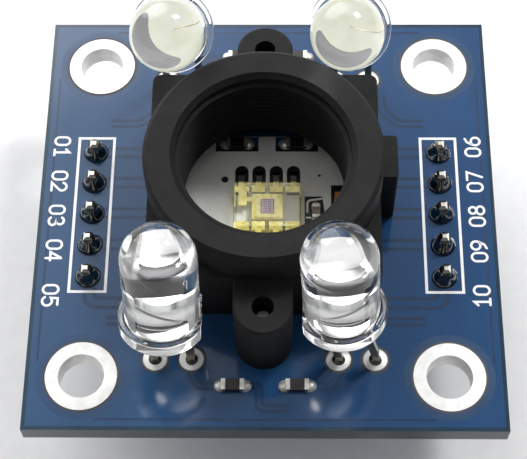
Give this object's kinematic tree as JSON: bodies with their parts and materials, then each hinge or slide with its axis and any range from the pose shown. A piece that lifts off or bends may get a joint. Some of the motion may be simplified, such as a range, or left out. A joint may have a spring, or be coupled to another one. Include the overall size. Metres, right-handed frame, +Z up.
{
  "type": "color sensor module",
  "caption": "Square blue circuit board with a black threaded lens holder over a clear light sensor chip, clear lamps leaning in around it, and header pins pointing down.",
  "frame": {"origin": "centre of the rectangle of four mounting holes, on the underside of the circuit board", "axes": "+Z up out of the board towards the lens holder's mouth, +X across the board to the header row beside the holder's boss, +Y from the front lamps to the rear lamps"},
  "size_m": [0.0332, 0.0332, 0.0257],
  "materials": {
    "board": "gloss",
    "plating": "satin",
    "holder": "matte",
    "holder_screw": "satin",
    "header_strip": "matte",
    "header_pin": "satin",
    "solder": "bright",
    "lamp_lens": "clear",
    "lamp_lead": "satin",
    "phosphor": "matte",
    "sensor_package": "clear",
    "sensor_lead": "satin",
    "sensor_die": "polished",
    "resistor": "satin",
    "chip_end": "satin",
    "small_capacitor": "satin",
    "moulded_capacitor": "satin"
  },
  "bodies": {
    "root": {"chip_solder": "solder", "circuit_board": "board", "front_left_led_cup_lead": "lamp_lead", "front_left_led_lens": "lamp_lens", "front_left_led_phosphor": "phosphor", "front_left_led_post_lead": "lamp_lead", "front_left_resistor": "resistor", "front_left_resistor_ends": "chip_end", "front_right_led_cup_lead": "lamp_lead", "front_right_led_lens": "lamp_lens", "front_right_led_phosphor": "phosphor", "front_right_led_post_lead": "lamp_lead", "front_right_resistor": "resistor", "front_right_resistor_ends": "chip_end", "holder_screw_front": "holder_screw", "holder_screw_rear": "holder_screw", "inner_left_resistor": "resistor", "inner_left_resistor_ends": "chip_end", "inner_right_resistor": "resistor", "inner_right_resistor_ends": "chip_end", "led_solder": "solder", "left_header_pins": "header_pin", "left_header_solder": "solder", "left_header_strip": "header_strip", "lens_holder": "holder", "moulded_capacitor": "moulded_capacitor", "moulded_capacitor_tabs": "chip_end", "mounting_hole_plating": "plating", "rear_left_led_cup_lead": "lamp_lead", "rear_left_led_lens": "lamp_lens", "rear_left_led_phosphor": "phosphor", "rear_left_led_post_lead": "lamp_lead", "rear_left_resistor": "resistor", "rear_left_resistor_ends": "chip_end", "rear_right_led_cup_lead": "lamp_lead", "rear_right_led_lens": "lamp_lens", "rear_right_led_phosphor": "phosphor", "rear_right_led_post_lead": "lamp_lead", "rear_right_resistor": "resistor", "rear_right_resistor_ends": "chip_end", "right_header_pins": "header_pin", "right_header_solder": "solder", "right_header_strip": "header_strip", "sensor_die": "sensor_die", "sensor_lead_frame": "sensor_lead", "sensor_package": "sensor_package", "sensor_solder": "solder", "small_capacitor": "small_capacitor", "small_capacitor_ends": "chip_end"}
  },
  "joints": []
}
